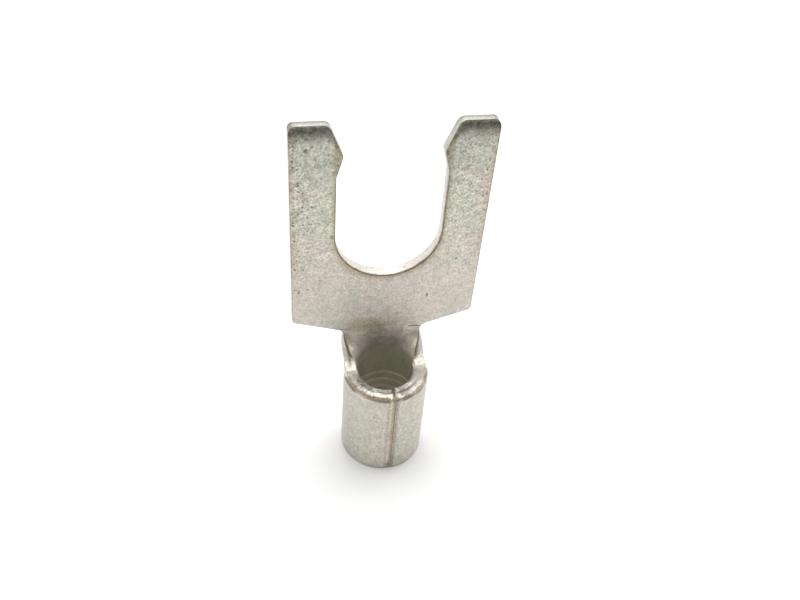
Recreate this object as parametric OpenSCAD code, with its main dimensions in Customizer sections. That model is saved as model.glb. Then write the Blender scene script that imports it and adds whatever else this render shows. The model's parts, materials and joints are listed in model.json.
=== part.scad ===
/* [Sheet] */
// Thickness of the metal sheet that the whole terminal is stamped and rolled from
sheet_t = 0.85; // [0.6:0.05:1.1]

/* [Tongue] */
// Width of the tongue across both tines
tongue_w = 12; // [11:0.1:14]
// Length of the tongue, from the shoulders' outer corners to the tips
tongue_l = 14.4; // [13:0.1:18]
// Angle at which the shoulders fall towards the neck
shoulder_angle = 17.8; // [8:0.1:26]
// Radius of the shoulders' outer corners
shoulder_r = 0.3; // [0.1:0.05:0.8]
// Radius of the tips' outer corners
tip_outer_r = 0.35; // [0.1:0.05:0.8]
// Radius of the tips' inner corners
tip_inner_r = 0.45; // [0.1:0.05:0.6]

/* [Fork slot] */
// Width of the slot between the straight sides of the tines
slot_w = 6.6; // [5.3:0.1:7.2]
// Depth of the slot, from the tips to the bottom of its round end
slot_depth = 10.8; // [9:0.1:12]

/* [Locking bumps] */
// Height of each bump above the straight side of the slot
bump_h = 0.37; // [0.2:0.01:0.6]
// Distance of the bumps' crests below the tips
bump_drop = 1.9; // [1.5:0.05:2.5]
// Length of the ramp from each crest down to the straight side of the slot
bump_ramp = 1.4; // [0.8:0.05:2]
// Radius of the bumps' crests
bump_r = 0.4; // [0.1:0.05:0.8]
// How far each lead-in edge spreads outwards between the crest and the tip
lead_in = 0.79; // [0.4:0.01:1.2]

/* [Coined tips] */
// Length of the rounded bevel on the front of each tip
tip_bevel_l = 0.55; // [0.3:0.05:0.9]
// Depth of that bevel at the end of the tip
tip_bevel_d = 0.27; // [0.1:0.01:0.45]
// Width of the bevel along each lead-in edge, at the tip
lead_bevel_w = 0.45; // [0.2:0.05:0.7]
// Width of that bevel where it fades out, at the crest
lead_bevel_end = 0.12; // [0.05:0.01:0.2]

/* [Neck] */
// Width of the neck, measured along the sheet
neck_w = 5.2; // [4.2:0.1:6]
// Length of the neck, from the barrel's rim to the corner under the shoulders
neck_l = 1.8; // [1.4:0.05:4]
// Length of the neck that stays flat below the shoulders
neck_flat = 0.5; // [0.2:0.05:0.8]
// Share of the rest over which the sheet eases out of the flat
neck_ease_flat = 0.15; // [0.05:0.05:0.5]
// Share of the rest over which it eases into the barrel's own curve
neck_ease_rim = 0.4; // [0.05:0.05:0.5]
// Radius of the corners between the neck and the shoulders
neck_shoulder_r = 0.55; // [0.2:0.05:1]
// Radius of the corners between the neck and the barrel's rim
neck_barrel_r = 1.3; // [0.4:0.05:1.4]

/* [Barrel] */
// Outside diameter of the barrel
barrel_od = 5.65; // [5:0.05:7]
// Length of the barrel
barrel_l = 7.2; // [5:0.1:10]
// Bevel that breaks the barrel's outer edges
edge_break = 0.12; // [0.05:0.01:0.25]
// Bevel at the mouth where the wire goes in
mouth_bevel = 0.18; // [0.05:0.01:0.3]

/* [Seam] */
// Gap between the sheet's edges where they meet along the barrel
seam_gap = 0.1; // [0.02:0.01:0.3]
// Width of the groove that the rolled-in edges leave outside
seam_groove_w = 0.46; // [0.2:0.02:0.8]
// Depth of that groove
seam_groove_d = 0.24; // [0.1:0.01:0.4]
// Turn of the seam away from the middle of the front
seam_turn = 3.8; // [-10:0.1:10]

/* [Serrations] */
// Number of grip grooves around the bore
serration_count = 4; // [2:1:6]
// Distance from one groove to the next
serration_pitch = 0.7; // [0.5:0.05:0.9]
// Distance of the first groove below the rim
serration_drop = 2.4; // [1.2:0.05:3]
// Width of each groove
serration_w = 0.3; // [0.15:0.01:0.45]
// Depth of each groove
serration_d = 0.1; // [0.04:0.01:0.2]

/* [Hidden] */
$fn = 96;
slack = 0.5;
barrel_r = barrel_od / 2;
bore_r = barrel_r - sheet_t;
roll_r = barrel_r - sheet_t / 2;
back_y = barrel_r;
front_y = back_y - sheet_t;
flat_z = barrel_l + neck_l - neck_flat;
neck_corner_z = barrel_l + neck_l;
shoulder_z = neck_corner_z + (tongue_w - neck_w) / 2 * tan(shoulder_angle);
tip_z = shoulder_z + tongue_l;
slot_r = slot_w / 2;
slot_z = tip_z - slot_depth + slot_r;
crest_x = slot_r - bump_h;
crest_z = tip_z - bump_drop;
lead_x = crest_x + lead_in;
lead_turn = atan2(lead_in, bump_drop);
// A corner may not run past the flat part of the neck
shoulder_fillet = min(neck_shoulder_r, neck_flat / tan((90 - shoulder_angle) / 2) * 0.98);
corner_steps = 8;
bevel_steps = 6;
neck_rows = 12;
neck_strips = 28;
// The neck's two ends run on inside the barrel's wall and the tongue
neck_root = 0.3;
// How much thinner the neck is there, on each side, than the barrel's wall and than the tongue
neck_inset = 0.03;
neck_tenon = 0.2;
// Angle of whole edge left between the neck's corners and the bevel of the rim
rim_rest = 5;

function unit(v) = v / norm(v);

// Points of the arc that rounds the corner at b, on the way from a to c
function rounded(a, b, c, r) =
    let (
        to_a = unit(a - b),
        to_c = unit(c - b),
        half = acos(to_a * to_c) / 2,
        centre = b + unit(to_a + to_c) * r / sin(half),
        start = b + to_a * r / tan(half) - centre,
        end = b + to_c * r / tan(half) - centre,
        from = atan2(start.y, start.x),
        turn = atan2(start.x * end.y - start.y * end.x, start * end)
    )
    [
        for (i = [0 : corner_steps])
            let (angle = from + turn * i / corner_steps)
            centre + r * [cos(angle), sin(angle)]
    ];

function mirrored(points) = [for (i = [len(points) - 1 : -1 : 0]) [-points[i].x, points[i].y]];

// Right half of the tongue's outline as x and height, from the neck round the tine to the slot
function tongue_half() =
    let (
        neck_foot = [neck_w / 2, flat_z],
        neck_corner = [neck_w / 2, neck_corner_z],
        shoulder = [tongue_w / 2, shoulder_z],
        tip_outer = [tongue_w / 2, tip_z],
        tip_inner = [lead_x, tip_z],
        crest = [crest_x, crest_z],
        ramp_foot = [slot_r, crest_z - bump_ramp],
        slot_foot = [slot_r, slot_z]
    )
    concat(
        [neck_foot],
        rounded(neck_foot, neck_corner, shoulder, shoulder_fillet),
        rounded(neck_corner, shoulder, tip_outer, shoulder_r),
        rounded(shoulder, tip_outer, tip_inner, tip_outer_r),
        rounded(tip_outer, tip_inner, crest, tip_inner_r),
        rounded(tip_inner, crest, ramp_foot, bump_r),
        [ramp_foot, slot_foot]
    );

module tongue_outline() {
    difference() {
        polygon(concat(tongue_half(), mirrored(tongue_half())));
        translate([0, slot_z]) circle(slot_r);
    }
}

// Stands a drawing of x and height upright, with its sheet's back on the back plane
module upright() {
    translate([0, back_y, 0]) rotate([90, 0, 0]) linear_extrude(sheet_t) children();
}

// Rounded bevel across the front of both tips, drawn in depth and height and drawn out along x
module tip_bevel() {
    bevel_r = (tip_bevel_l ^ 2 + tip_bevel_d ^ 2) / (2 * tip_bevel_d);
    end_angle = asin(tip_bevel_l / bevel_r);
    arc = [
        for (i = [0 : bevel_steps])
            [bevel_r * (1 - cos(end_angle * i / bevel_steps)), bevel_r * sin(end_angle * i / bevel_steps)]
    ];
    beyond = tip_bevel_l + slack;
    profile = concat([[-slack, 0]], arc, [[tip_bevel_d, beyond], [-slack, beyond]]);
    translate([-tongue_w / 2 - slack, front_y, tip_z - tip_bevel_l])
        rotate([90, 0, 90])
            linear_extrude(tongue_w + 2 * slack) polygon(profile);
}

// Flat bevel along the front of one lead-in edge, as deep as the tip's own bevel and fading past the crest
module lead_bevel() {
    lead_l = norm([lead_in, bump_drop]);
    turn = lead_turn + atan2(lead_bevel_w - lead_bevel_end, lead_l);
    steepness = tip_bevel_d / lead_bevel_w;
    reach = lead_bevel_w + slack;
    inwards = lead_bevel_end * [cos(lead_turn), -sin(lead_turn)];
    translate([crest_x + inwards.x, front_y, crest_z + inwards.y])
        rotate([0, turn, 0])
            translate([0, 0, -bump_ramp])
                linear_extrude(bump_ramp + lead_l + slack)
                    polygon([[0, 0], [-reach, steepness * reach], [-reach, -slack], [0, -slack]]);
}

module tongue() {
    difference() {
        upright() tongue_outline();
        tip_bevel();
        lead_bevel();
        mirror([1, 0, 0]) lead_bevel();
    }
}

// Share of the barrel's curve that the neck has at a height: none where it is flat, all from the rim down
function neck_roll(z) =
    let (
        way = max(0, min(1, (flat_z - z) / (flat_z - barrel_l))),
        rate = 2 / (2 - neck_ease_flat - neck_ease_rim)
    )
    way < neck_ease_flat ? rate * way ^ 2 / (2 * neck_ease_flat)
    : way > 1 - neck_ease_rim ? 1 - rate * (1 - way) ^ 2 / (2 * neck_ease_rim)
    : rate * (way - neck_ease_flat / 2);

// How far the neck's faces lie inside the faces that they meet
function neck_thin(z) = z > flat_z ? neck_tenon : neck_inset * neck_roll(z);

// Half of the neck's width along the sheet, spreading in a round corner at the rim
function neck_half(z) =
    let (into_corner = min(neck_barrel_r, max(0, barrel_l + neck_barrel_r - z)))
    neck_w / 2 + neck_barrel_r - sqrt(neck_barrel_r ^ 2 - into_corner ^ 2);

// Point of the neck at a height, at a share across its width and on one face of the sheet, back or front
function neck_point(z, across, face) =
    let (
        s = across * (neck_half(z) - (z > flat_z ? neck_tenon : 0)),
        bend = neck_roll(z) / roll_r,
        angle = bend * s * 180 / PI,
        middle = bend == 0 ? [s, 0] : [sin(angle), cos(angle) - 1] / bend,
        behind = face * (sheet_t / 2 - neck_thin(z))
    )
    [middle.x + behind * sin(angle), back_y - sheet_t / 2 + middle.y + behind * cos(angle), z];

// Sheet that opens from the round of the barrel to the flat of the tongue
module neck() {
    across = [for (i = [0 : neck_strips]) 2 * i / neck_strips - 1];
    ring_size = 2 * len(across);
    heights = concat(
        [barrel_l - neck_root],
        [for (row = [0 : neck_rows]) barrel_l + (flat_z - barrel_l) * row / neck_rows],
        [flat_z + neck_root]
    );
    rows = len(heights);
    points = [
        for (z = heights)
            each concat(
                [for (a = across) neck_point(z, a, -1)],
                [for (i = [neck_strips : -1 : 0]) neck_point(z, across[i], 1)]
            )
    ];
    sides = [
        for (row = [0 : rows - 2], i = [0 : ring_size - 1])
            let (
                low = row * ring_size,
                high = low + ring_size,
                next = (i + 1) % ring_size
            )
            each [[low + i, high + i, high + next], [low + i, high + next, low + next]]
    ];
    ends = [
        for (i = [0 : neck_strips - 1])
            let (
                front = i,
                back = ring_size - 1 - i,
                top = (rows - 1) * ring_size
            )
            each [
                [front, front + 1, back - 1],
                [front, back - 1, back],
                [top + front, top + back - 1, top + front + 1],
                [top + front, top + back, top + back - 1]
            ]
    ];
    polyhedron(points, concat(sides, ends));
}

// Triangle that breaks an edge, turned round the barrel's axis over an angle centred on the front
module edge_ring(r, z, size, outwards, upwards, angle) {
    rotate([0, 0, -90 - angle / 2])
        rotate_extrude(angle = angle)
            polygon([
                [r - outwards * size, z + upwards * size],
                [r + outwards * size, z + upwards * size],
                [r + outwards * size, z - upwards * size]
            ]);
}

module seam_cut() {
    rotate([0, 0, seam_turn])
        translate([0, 0, -slack])
            linear_extrude(barrel_l + 2 * slack)
                polygon([
                    [-seam_gap / 2, -bore_r / 2],
                    [-seam_gap / 2, seam_groove_d - barrel_r],
                    [-seam_groove_w / 2, -barrel_r],
                    [-seam_groove_w / 2, -barrel_r - slack],
                    [seam_groove_w / 2, -barrel_r - slack],
                    [seam_groove_w / 2, -barrel_r],
                    [seam_gap / 2, seam_groove_d - barrel_r],
                    [seam_gap / 2, -bore_r / 2]
                ]);
}

module serrations() {
    for (i = [0 : serration_count - 1])
        translate([0, 0, barrel_l - serration_drop - i * serration_pitch])
            rotate_extrude()
                polygon([
                    [bore_r / 2, -serration_w / 2],
                    [bore_r, -serration_w / 2],
                    [bore_r + serration_d, 0],
                    [bore_r, serration_w / 2],
                    [bore_r / 2, serration_w / 2]
                ]);
}

module barrel() {
    rim_angle = 360 - 2 * (neck_half(barrel_l) / roll_r * 180 / PI + rim_rest);
    difference() {
        cylinder(barrel_l, r = barrel_r);
        translate([0, 0, -slack]) cylinder(barrel_l + 2 * slack, r = bore_r);
        edge_ring(barrel_r, barrel_l, edge_break, 1, 1, rim_angle);
        edge_ring(barrel_r, 0, edge_break, 1, -1, 360);
        edge_ring(bore_r, 0, mouth_bevel, -1, -1, 360);
        serrations();
        seam_cut();
    }
}

module fork_terminal() {
    color([0.78, 0.77, 0.73]) {
        barrel();
        neck();
        tongue();
    }
}

fork_terminal();
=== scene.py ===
import json
import math
import bpy
from mathutils import Matrix, Vector


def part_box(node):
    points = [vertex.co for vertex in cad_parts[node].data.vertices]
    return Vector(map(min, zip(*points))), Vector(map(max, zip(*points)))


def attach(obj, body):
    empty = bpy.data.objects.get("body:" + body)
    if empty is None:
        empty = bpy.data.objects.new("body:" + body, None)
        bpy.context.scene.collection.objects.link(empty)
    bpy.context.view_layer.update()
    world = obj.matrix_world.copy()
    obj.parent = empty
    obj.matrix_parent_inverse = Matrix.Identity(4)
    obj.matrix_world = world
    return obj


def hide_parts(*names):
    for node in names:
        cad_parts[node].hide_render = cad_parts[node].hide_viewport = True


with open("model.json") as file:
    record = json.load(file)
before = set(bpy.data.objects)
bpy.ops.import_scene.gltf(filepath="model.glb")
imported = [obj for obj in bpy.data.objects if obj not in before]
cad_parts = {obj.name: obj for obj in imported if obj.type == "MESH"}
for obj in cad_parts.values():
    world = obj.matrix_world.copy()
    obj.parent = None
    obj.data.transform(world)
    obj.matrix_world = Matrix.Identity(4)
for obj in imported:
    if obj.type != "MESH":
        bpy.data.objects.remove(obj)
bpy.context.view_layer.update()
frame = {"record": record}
mm = 0.001

partLow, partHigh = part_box("fork_terminal")
mounts = {mount["name"]: mount for mount in frame["record"]["mounts"]}


# The terminal is drawn flat in millimetres, as the blank that a press stamps out, and is then rolled.
# x runs along the sheet, y through it (the back is the barrel's outside) and z up.
blank = {
    "tongueWidth": round((partHigh.x - partLow.x) / mm, 3),
    "height": round(partHigh.z / mm, 4),
    "barrelRadius": round(partHigh.y / mm, 3),
    "boreRadius": mounts["wire_bore"]["dims"]["r_mm"],
    "slotRadius": mounts["stud_slot"]["dims"]["r_mm"],
    "slotHeight": mounts["stud_slot"]["pos_m"][2] / mm,
    "barrelLength": 7.2,
    "neckWidth": 5.2,
    "neckLength": 1.8,
    "neckFlat": 0.5,         # stretch of the neck that stays flat under the shoulders
    "neckRimCorner": 1.3,
    "neckShoulderCorner": 0.53,
    "shoulderAngle": 17.8,
    "shoulderCorner": 0.3,
    "tipOuterCorner": 0.35,
    "tipInnerCorner": 0.45,
    "bumpHeight": 0.37,
    "bumpDrop": 1.9,         # from the tips down to the bumps' crests
    "bumpRamp": 1.4,
    "bumpCorner": 0.4,
    "leadIn": 0.79,
    "lipCorner": 0.24,       # rounded corners where the seam meets the rim
    "seamGap": 0.004,
    "seamTurn": 3.8,         # degrees round from the middle of the front
}
blank["sheet"] = blank["barrelRadius"] - blank["boreRadius"]
blank["rollRadius"] = blank["barrelRadius"] - blank["sheet"] / 2
blank["backY"] = blank["barrelRadius"]
blank["frontY"] = blank["boreRadius"]
blank["neckCorner"] = blank["barrelLength"] + blank["neckLength"]
blank["flatFrom"] = blank["neckCorner"] - blank["neckFlat"]
blank["seamEdge"] = math.pi * blank["rollRadius"] - blank["seamGap"] / 2
seamShift = -math.radians(blank["seamTurn"]) * blank["rollRadius"]

coining = {
    "tipLength": 0.55,       # rounded bevel across the front of the tips
    "tipDepth": 0.27,
    "tipCuts": 8,
    "leadWidth": 0.45,       # flat bevel along the lead-in edges, at the tip and at the crest
    "leadWidthEnd": 0.12,
}

edges = {
    "widest": 0.2,           # every other width is a share of this one
    "segments": 4,
    "seamOutside": 0.03,
    "seamInside": 0.06,
    "rimOutside": 0.2,
    "rimInside": 0.05,
    "rimFade": 0.9,          # height over which the rim's widths turn into the plate's
    "footOutside": 0.12,
    "footInside": 0.18,
    "back": 0.09,
    "front": 0.13,
    "frontTip": 0.04,        # sharper towards the tips
    "tipFade": (20.2, 22.0),
}

lips = {
    # distance from the seam and how far the sheet dips there
    "left": ((0.42, 0.0), (0.28, 0.03), (0.14, 0.05)),
    "right": ((0.28, 0.0), (0.14, 0.03)),
}

serrations = {"count": 4, "pitch": 0.7, "drop": 2.4, "width": 0.24, "depth": 0.1}

dieMark = {
    "height": 9.09,          # line that the die's edge leaves on the neck's front, at the middle
    "slope": -0.04,
    "width": 0.12,
    "left": (-0.4, -0.6),    # the middle of the neck has none
    "leftDepth": -0.043,     # a ridge
    "right": (1.7, 1.85),
    "rightDepth": 0.046,     # a groove
}

shearing = {
    "steepest": 0.35,        # a face counts as sheared if its normal has less than this through the sheet
    "upward": 0.7,           # and by the rim, if its normal has more than this upwards
    "rows": (0.15, 0.23, 0.32, 0.5),     # shares of the sheet at which the rim's face is divided
    "breakShare": 0.27,      # the inner part of the rim's face broke off, the outer part was cut clean
    "breakDepth": 0.03,
    "crown": 0.19,           # how far the outer part falls towards the rim's edge
    "leftFade": (3.9, 4.9),  # along the sheet, as the corners beside the neck are smooth
    "rightFade": (5.0, 6.0),
    "rimReach": 0.4,         # how far below the rim its sheared face comes
    "burr": 0.08,            # how far the rim's inner edge stands into the bore
    "burrRight": 0.17,
    "burrFade": (3.1, 3.7),
    "roughness": 0.05,
    "grain": 0.15,
}

rolling = {"columnDegrees": 2.8, "neckRows": 16, "easeFlat": 0.15, "easeRim": 0.5}


def emptyHands():
    if bpy.context.mode != "OBJECT":
        bpy.ops.object.mode_set(mode="OBJECT")
    bpy.ops.object.select_all(action="DESELECT")


def selectOnly(piece, kind, test):
    # kind is VERT, EDGE or FACE; test looks at one element and the mesh
    bpy.ops.object.mode_set(mode="EDIT")
    bpy.ops.mesh.select_mode(type=kind)
    bpy.ops.mesh.select_all(action="DESELECT")
    bpy.ops.object.mode_set(mode="OBJECT")
    mesh = piece.data
    elements = {"VERT": mesh.vertices, "EDGE": mesh.edges, "FACE": mesh.polygons}[kind]
    for element in elements:
        element.select = test(element, mesh)
    bpy.ops.object.mode_set(mode="EDIT")


# Pen that draws an outline in the plane y = backY with edges and arcs
pen = {"x": 0.0, "z": 0.0}


def penDown(x, z):
    bpy.ops.mesh.primitive_plane_add(size=1, location=(x, blank["backY"], z))
    bpy.ops.object.transform_apply(location=True, rotation=False, scale=False)
    bpy.ops.object.mode_set(mode="EDIT")
    bpy.ops.mesh.select_mode(type="VERT")
    bpy.ops.mesh.merge(type="CENTER")
    pen["x"], pen["z"] = x, z


def lineTo(x, z):
    step = (x - pen["x"], 0, z - pen["z"])
    bpy.ops.mesh.extrude_vertices_move(TRANSFORM_OT_translate={"value": step})
    pen["x"], pen["z"] = x, z


def arcTo(centre, turn, steps):
    # turn is in degrees, anticlockwise seen from the front
    angle = math.radians(turn)
    pivot = (centre[0], blank["backY"], centre[1])
    bpy.ops.mesh.spin(steps=steps, angle=angle, center=pivot, axis=(0, 1, 0))
    dx, dz = pen["x"] - centre[0], pen["z"] - centre[1]
    pen["x"] = centre[0] + dx * math.cos(angle) - dz * math.sin(angle)
    pen["z"] = centre[1] + dx * math.sin(angle) + dz * math.cos(angle)


def cornerTo(corner, following, radius, steps=6):
    # a straight edge towards the corner, then an arc that leaves it towards the next point
    here = Vector((pen["x"], pen["z"]))
    corner = Vector(corner)
    toHere = (here - corner).normalized()
    toNext = (Vector(following) - corner).normalized()
    half = toHere.angle(toNext) / 2
    start = corner + toHere * radius / math.tan(half)
    centre = corner + (toHere + toNext).normalized() * radius / math.sin(half)
    side = toHere.x * toNext.y - toHere.y * toNext.x
    lineTo(start.x, start.y)
    arcTo(centre, math.degrees(math.pi - 2 * half) * (-1 if side > 0 else 1), steps)


def stampHalf():
    b = blank
    rim = b["barrelLength"]
    edge = b["seamEdge"]
    neck = b["neckWidth"] / 2
    side = b["tongueWidth"] / 2
    tip = b["height"]
    shoulder = b["neckCorner"] + (side - neck) * math.tan(math.radians(b["shoulderAngle"]))
    crest = (b["slotRadius"] - b["bumpHeight"], tip - b["bumpDrop"])
    lead = (crest[0] + b["leadIn"], tip)
    rampFoot = (b["slotRadius"], crest[1] - b["bumpRamp"])
    penDown(0, 0)
    lineTo(edge, 0)
    cornerTo((edge, rim), (0, rim), b["lipCorner"])
    cornerTo((neck, rim), (neck, tip), b["neckRimCorner"], 10)
    cornerTo((neck, b["neckCorner"]), (side, shoulder), b["neckShoulderCorner"])
    cornerTo((side, shoulder), (side, tip), b["shoulderCorner"])
    cornerTo((side, tip), lead, b["tipOuterCorner"])
    cornerTo(lead, crest, b["tipInnerCorner"])
    cornerTo(crest, rampFoot, b["bumpCorner"])
    lineTo(*rampFoot)
    lineTo(b["slotRadius"], b["slotHeight"])
    arcTo((0, b["slotHeight"]), -90, 40)
    half = bpy.context.object
    half.name = "fork_terminal_sheet"
    selectOnly(half, "VERT", lambda v, mesh: abs(v.co.x) < 1e-3)
    bpy.ops.mesh.edge_face_add()
    bpy.ops.mesh.select_all(action="SELECT")
    bpy.ops.mesh.edge_face_add()
    bpy.ops.mesh.extrude_region_move(TRANSFORM_OT_translate={"value": (0, -b["sheet"], 0)})
    bpy.ops.mesh.select_all(action="SELECT")
    bpy.ops.mesh.normals_make_consistent(inside=False)
    return half


def coinTip():
    # files the front of the tip to a rounded bevel, one flat cut after the other
    length, depth, cuts = coining["tipLength"], coining["tipDepth"], coining["tipCuts"]
    radius = (length ** 2 + depth ** 2) / (2 * depth)
    whole = math.asin(length / radius)
    foot = blank["height"] - length
    for cut in range(cuts):
        start, middle = whole * cut / cuts, whole * (cut + 0.5) / cuts
        point = (0, blank["frontY"] + radius * (1 - math.cos(start)), foot + radius * math.sin(start))
        outwards = (0, -math.cos(middle), math.sin(middle))
        bpy.ops.mesh.select_all(action="SELECT")
        bpy.ops.mesh.bisect(plane_co=point, plane_no=outwards, use_fill=True, clear_outer=True)


def coinLeadIn():
    b = blank
    turn = math.atan2(b["leadIn"], b["bumpDrop"])
    inwards = Vector((math.cos(turn), 0, -math.sin(turn)))
    crest = Vector((b["slotRadius"] - b["bumpHeight"], b["frontY"], b["height"] - b["bumpDrop"]))
    lead = crest + Vector((b["leadIn"], 0, b["bumpDrop"]))
    low = crest + inwards * coining["leadWidthEnd"]
    high = lead + inwards * coining["leadWidth"]
    along = (high - low).normalized()
    towardsSlot = along.cross(Vector((0, 1, 0)))
    if towardsSlot.x > 0:
        towardsSlot = -towardsSlot
    slope = towardsSlot + Vector((0, coining["tipDepth"] / coining["leadWidth"], 0))
    outwards = along.cross(slope).normalized()
    if outwards.y > 0:
        outwards = -outwards
    bpy.ops.mesh.select_all(action="SELECT")
    bpy.ops.mesh.bisect(plane_co=low, plane_no=outwards, use_fill=True, clear_outer=True)


def mirrorHalf(half):
    selectOnly(half, "FACE", lambda f, mesh: f.center.x < 1e-3 and abs(f.normal.x) > 0.9)
    bpy.ops.mesh.delete(type="FACE")
    bpy.ops.object.mode_set(mode="OBJECT")
    mirror = half.modifiers.new("otherHalf", "MIRROR")
    mirror.merge_threshold = 0.002
    bpy.ops.object.modifier_apply(modifier=mirror.name)
    # the seam lies a little to the right of the middle, so the left edge is longer than the right
    inside = blank["seamEdge"] - 2 * blank["lipCorner"]
    selectOnly(half, "VERT", lambda v, mesh: abs(v.co.x) > inside and v.co.z < blank["neckCorner"])
    bpy.ops.transform.translate(value=(seamShift, 0, 0))


def onCoinedEdge(point):
    # edges that the coining left are sharp
    onTip = point.z > blank["height"] - coining["tipLength"] - 0.01
    leadLow = blank["height"] - blank["bumpDrop"] - coining["leadWidth"]
    leadSide = blank["slotRadius"] - blank["bumpHeight"] + blank["leadIn"] + coining["leadWidth"]
    return onTip or point.z > leadLow and abs(point.x) < leadSide


def edgeWidth(a, b):
    # width of the rounding on an edge of the sheet between two points, by where it lies
    rim, foot = blank["barrelLength"], 0.01
    middle = (a + b) / 2
    outside = min(a.y, b.y) > blank["backY"] - 0.01
    if middle.z < foot:
        return edges["footOutside" if outside else "footInside"]
    start = edges["rimOutside" if outside else "rimInside"]
    if not outside and onCoinedEdge(middle):
        return 0
    if middle.z < rim and abs(middle.x) > 5:
        end = edges["seamOutside" if outside else "seamInside"]
        share = abs(a.z - b.z) / (a - b).length
    elif outside or middle.z < edges["tipFade"][0]:
        end = edges["back" if outside else "front"]
        share = min(1, max(0, (middle.z - rim) / edges["rimFade"]))
    else:
        start, end = edges["front"], edges["frontTip"]
        low, high = edges["tipFade"]
        share = min(1, (middle.z - low) / (high - low))
    return round(start + (end - start) * share, 3)


def roundEdges(sheet):
    bpy.ops.object.mode_set(mode="OBJECT")
    mesh = sheet.data
    normals = {}
    for face in mesh.polygons:
        for key in face.edge_keys:
            normals.setdefault(key, []).append(face.normal.copy())
    widths = {}
    for edge in mesh.edges:
        a, b = (mesh.vertices[i].co for i in edge.vertices)
        pair = normals[edge.key]
        through = abs(a.x - b.x) + abs(a.z - b.z) < 1e-3
        if len(pair) == 2 and not through and pair[0].angle(pair[1]) > math.radians(30):
            widths.setdefault(edgeWidth(a, b), set()).add(edge.index)
    widths.pop(0, None)
    for width, chosen in widths.items():
        selectOnly(sheet, "EDGE", lambda e, m: e.index in chosen)
        bpy.ops.transform.edge_bevelweight(value=width / edges["widest"])
    bpy.ops.object.mode_set(mode="OBJECT")
    rounding = sheet.modifiers.new("roundedEdges", "BEVEL")
    rounding.limit_method = "WEIGHT"
    rounding.width = edges["widest"]
    rounding.segments = edges["segments"]
    rounding.use_clamp_overlap = False
    bpy.ops.object.modifier_apply(modifier=rounding.name)


def dipLips(sheet):
    # both edges of the seam are rolled in a little, the left one further
    outer = blank["backY"] - blank["sheet"] / 2
    for side, steps in ((-1, lips["left"]), (1, lips["right"])):
        end = seamShift + side * blank["seamEdge"]
        bpy.ops.object.mode_set(mode="EDIT")
        for distance, dip in steps:
            bpy.ops.mesh.select_all(action="SELECT")
            bpy.ops.mesh.bisect(plane_co=(end - side * distance, 0, 0), plane_no=(1, 0, 0))
        reachedDip = 0
        for distance, dip in steps:
            selectOnly(
                sheet, "VERT",
                lambda v, mesh: abs(v.co.x - end) < distance + 0.01 and v.co.y > outer
                and v.co.z < blank["barrelLength"] + 0.01,
            )
            bpy.ops.transform.translate(value=(0, reachedDip - dip, 0))
            reachedDip = dip


def cutAcross(height, slope=0.0):
    bpy.ops.mesh.select_all(action="SELECT")
    bpy.ops.mesh.bisect(plane_co=(0, 0, height), plane_no=Vector((-slope, 0, 1)).normalized())


def pressSerrations(sheet):
    # rows of shallow grooves across the barrel's inside, all cut before any is pressed
    half = serrations["width"] / 2
    rows = []
    for count in range(serrations["count"]):
        middle = blank["barrelLength"] - serrations["drop"] - count * serrations["pitch"]
        for share, depth in ((-1, 0), (-0.5, 0.6), (0, 1), (0.5, 0.6), (1, 0)):
            rows.append((middle + share * half, depth * serrations["depth"]))
    for height, depth in rows:
        cutAcross(height)
    for height, depth in rows:
        if depth:
            selectOnly(
                sheet, "VERT",
                lambda v, mesh: abs(v.co.z - height) < 1e-3 and v.co.y < blank["frontY"] + 0.02,
            )
            bpy.ops.transform.translate(value=(0, depth, 0))


def pressDieMark(sheet):
    half, slope = dieMark["width"] / 2, dieMark["slope"]
    bpy.ops.object.mode_set(mode="EDIT")
    for row in (-half, 0, half):
        cutAcross(dieMark["height"] + row, slope)

    def offLine(point):
        return abs(point.z - dieMark["height"] - slope * point.x)

    for place in (*dieMark["left"], *dieMark["right"]):
        selectOnly(sheet, "FACE", lambda f, mesh: offLine(f.center) < half and f.normal.y < -0.9)
        bpy.ops.mesh.bisect(plane_co=(place, 0, 0), plane_no=(1, 0, 0))
    for side, start, depth in (
        (-1, -dieMark["left"][1], dieMark["leftDepth"]),
        (1, dieMark["right"][1], dieMark["rightDepth"]),
    ):
        selectOnly(
            sheet, "VERT",
            lambda v, mesh: offLine(v.co) < 1e-3 and v.co.y < blank["frontY"] + 0.01
            and v.co.x * side > start - 0.01,
        )
        bpy.ops.transform.translate(value=(0, depth, 0))


def bendShare(height):
    # no bend on the tongue and all of the barrel's bend from the rim down, eased at both ends of the neck
    rim, flat = blank["barrelLength"], blank["flatFrom"]
    easeFlat, easeRim = rolling["easeFlat"], rolling["easeRim"]
    way = min(1, max(0, (flat - height) / (flat - rim)))
    rate = 2 / (2 - easeFlat - easeRim)
    if way < easeFlat:
        return rate * way ** 2 / (2 * easeFlat)
    if way > 1 - easeRim:
        return 1 - rate * (1 - way) ** 2 / (2 * easeRim)
    return rate * (way - easeFlat / 2)


def cutBendLines(sheet):
    # rows up the neck, columns along the barrel
    bpy.ops.object.mode_set(mode="EDIT")
    rows = rolling["neckRows"]
    rim, flat = blank["barrelLength"], blank["flatFrom"]
    for row in range(rows + 1):
        cutAcross(rim + (flat - rim) * row / rows)
    selectOnly(sheet, "FACE", lambda f, mesh: f.center.z > flat)
    bpy.ops.mesh.hide(unselected=False)
    step = math.radians(rolling["columnDegrees"]) * blank["rollRadius"]
    columns = int(blank["seamEdge"] / step)
    for column in range(-columns, columns + 1):
        bpy.ops.mesh.select_all(action="SELECT")
        bpy.ops.mesh.bisect(plane_co=((column + 0.5) * step, 0, 0), plane_no=(1, 0, 0))
    bpy.ops.mesh.reveal()


def reached(value, low, high):
    # 0 up to the low value, 1 from the high one
    return min(1, max(0, (value - low) / (high - low)))


def onRimFace(face, mesh):
    return face.normal.z > 0.9 and abs(face.center.z - blank["barrelLength"]) < 0.01


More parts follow.
